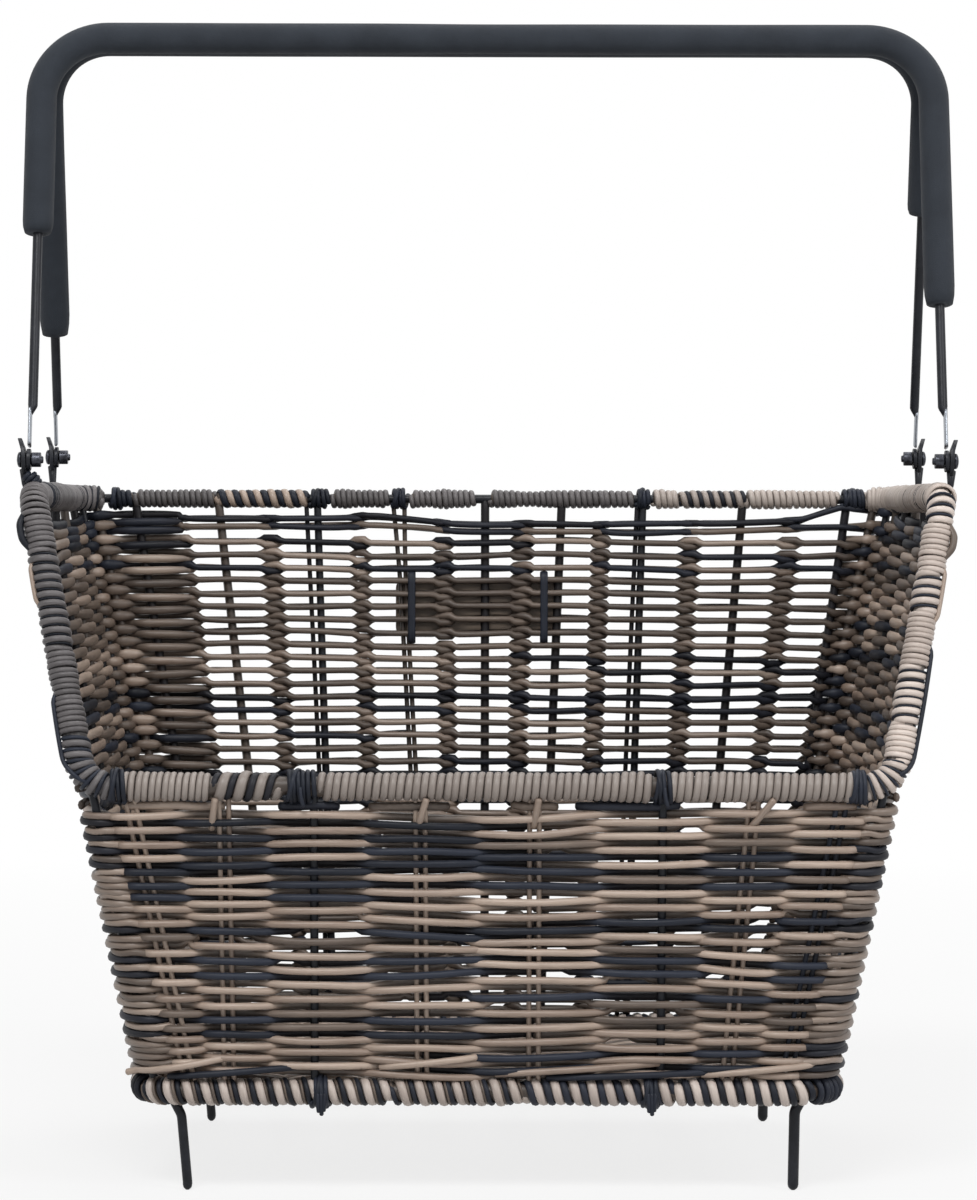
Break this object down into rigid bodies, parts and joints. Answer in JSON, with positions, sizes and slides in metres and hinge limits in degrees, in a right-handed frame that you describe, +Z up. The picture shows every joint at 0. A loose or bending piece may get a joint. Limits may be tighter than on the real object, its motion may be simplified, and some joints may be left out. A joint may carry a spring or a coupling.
{
  "type": "bicycle basket",
  "caption": "Wicker bicycle basket on a wire frame, low in front and tall at the back, with swinging foam-sleeved handles and pins that hook on a carrier.",
  "frame": {"origin": "on the ground under the middle of the basket, at the height of the lower ends of its four pins", "axes": "+Z up, the low front of the basket towards -Y, +X to the right of someone who looks at the front"},
  "size_m": [0.4812, 0.296, 0.5972],
  "materials": {
    "black_steel": "satin black powder coat",
    "dark_zinc": "black zinc plate",
    "foam": "closed-cell foam sleeve, matt",
    "strand_tan": "tan rattan-look strand, soft sheen",
    "strand_grey": "grey-brown rattan-look strand, soft sheen",
    "strand_black": "blue-black rattan-look strand, soft sheen",
    "plate_brown": "bare brown plate"
  },
  "bodies": {
    "basket": {"top_frame_wire": "black_steel", "bottom_frame_wire": "black_steel", "rim_wrap_front": "strand_tan", "rim_wrap_back": "strand_grey", "rim_wrap_right": "strand_tan", "rim_wrap_left": "strand_grey", "bottom_wrap_front": "strand_tan", "bottom_wrap_back": "strand_tan", "bottom_wrap_right": "strand_tan", "bottom_wrap_left": "strand_tan", "corner_post_front_right": "black_steel", "corner_post_front_left": "black_steel", "corner_post_back_right": "black_steel", "corner_post_back_left": "black_steel", "front_post_right": "black_steel", "front_post_left": "black_steel", "back_post_right": "black_steel", "back_post_left": "black_steel", "weave_front": "strand_tan", "weave_right": "strand_grey", "weave_left": "strand_grey", "weave_back": "strand_grey", "weave_floor": "strand_grey", "tie_front_corner_right": "strand_black", "tie_front_corner_left": "strand_black", "tie_front_post_right": "strand_black", "tie_front_post_left": "strand_black", "tie_bottom_right": "strand_black", "tie_bottom_left": "strand_black", "tie_back_corner_right": "strand_black", "tie_back_corner_left": "strand_black", "tie_back_post_right": "strand_black", "tie_back_post_left": "strand_black", "tie_back_middle": "strand_black", "carrier_hook_right": "black_steel", "carrier_hook_left": "black_steel", "hinge_ear_front_right": "black_steel", "hinge_ear_front_left": "black_steel", "hinge_bolt_front_right": "dark_zinc", "hinge_bolt_front_left": "dark_zinc", "hinge_nut_front_right": "dark_zinc", "hinge_nut_front_left": "dark_zinc", "hinge_ear_rear_right": "black_steel", "hinge_ear_rear_left": "black_steel", "hinge_bolt_rear_right": "dark_zinc", "hinge_bolt_rear_left": "dark_zinc", "hinge_nut_rear_right": "dark_zinc", "hinge_nut_rear_left": "dark_zinc", "badge_plate": "plate_brown", "badge_strap_left": "strand_black", "badge_strap_right": "strand_black"},
    "front_handle": {"front_bail": "black_steel", "front_grip": "foam"},
    "rear_handle": {"rear_bail": "black_steel", "rear_grip": "foam"}
  },
  "joints": [
    {"name": "front_handle_swing", "type": "hinge", "parent": "basket", "child": "front_handle", "pos_m": [0, -0.078, 0.369], "axis": [1, 0, 0], "range_deg": [0, 108]},
    {"name": "rear_handle_swing", "type": "hinge", "parent": "basket", "child": "rear_handle", "pos_m": [0, 0.078, 0.369], "axis": [-1, 0, 0], "range_deg": [0, 108]}
  ]
}
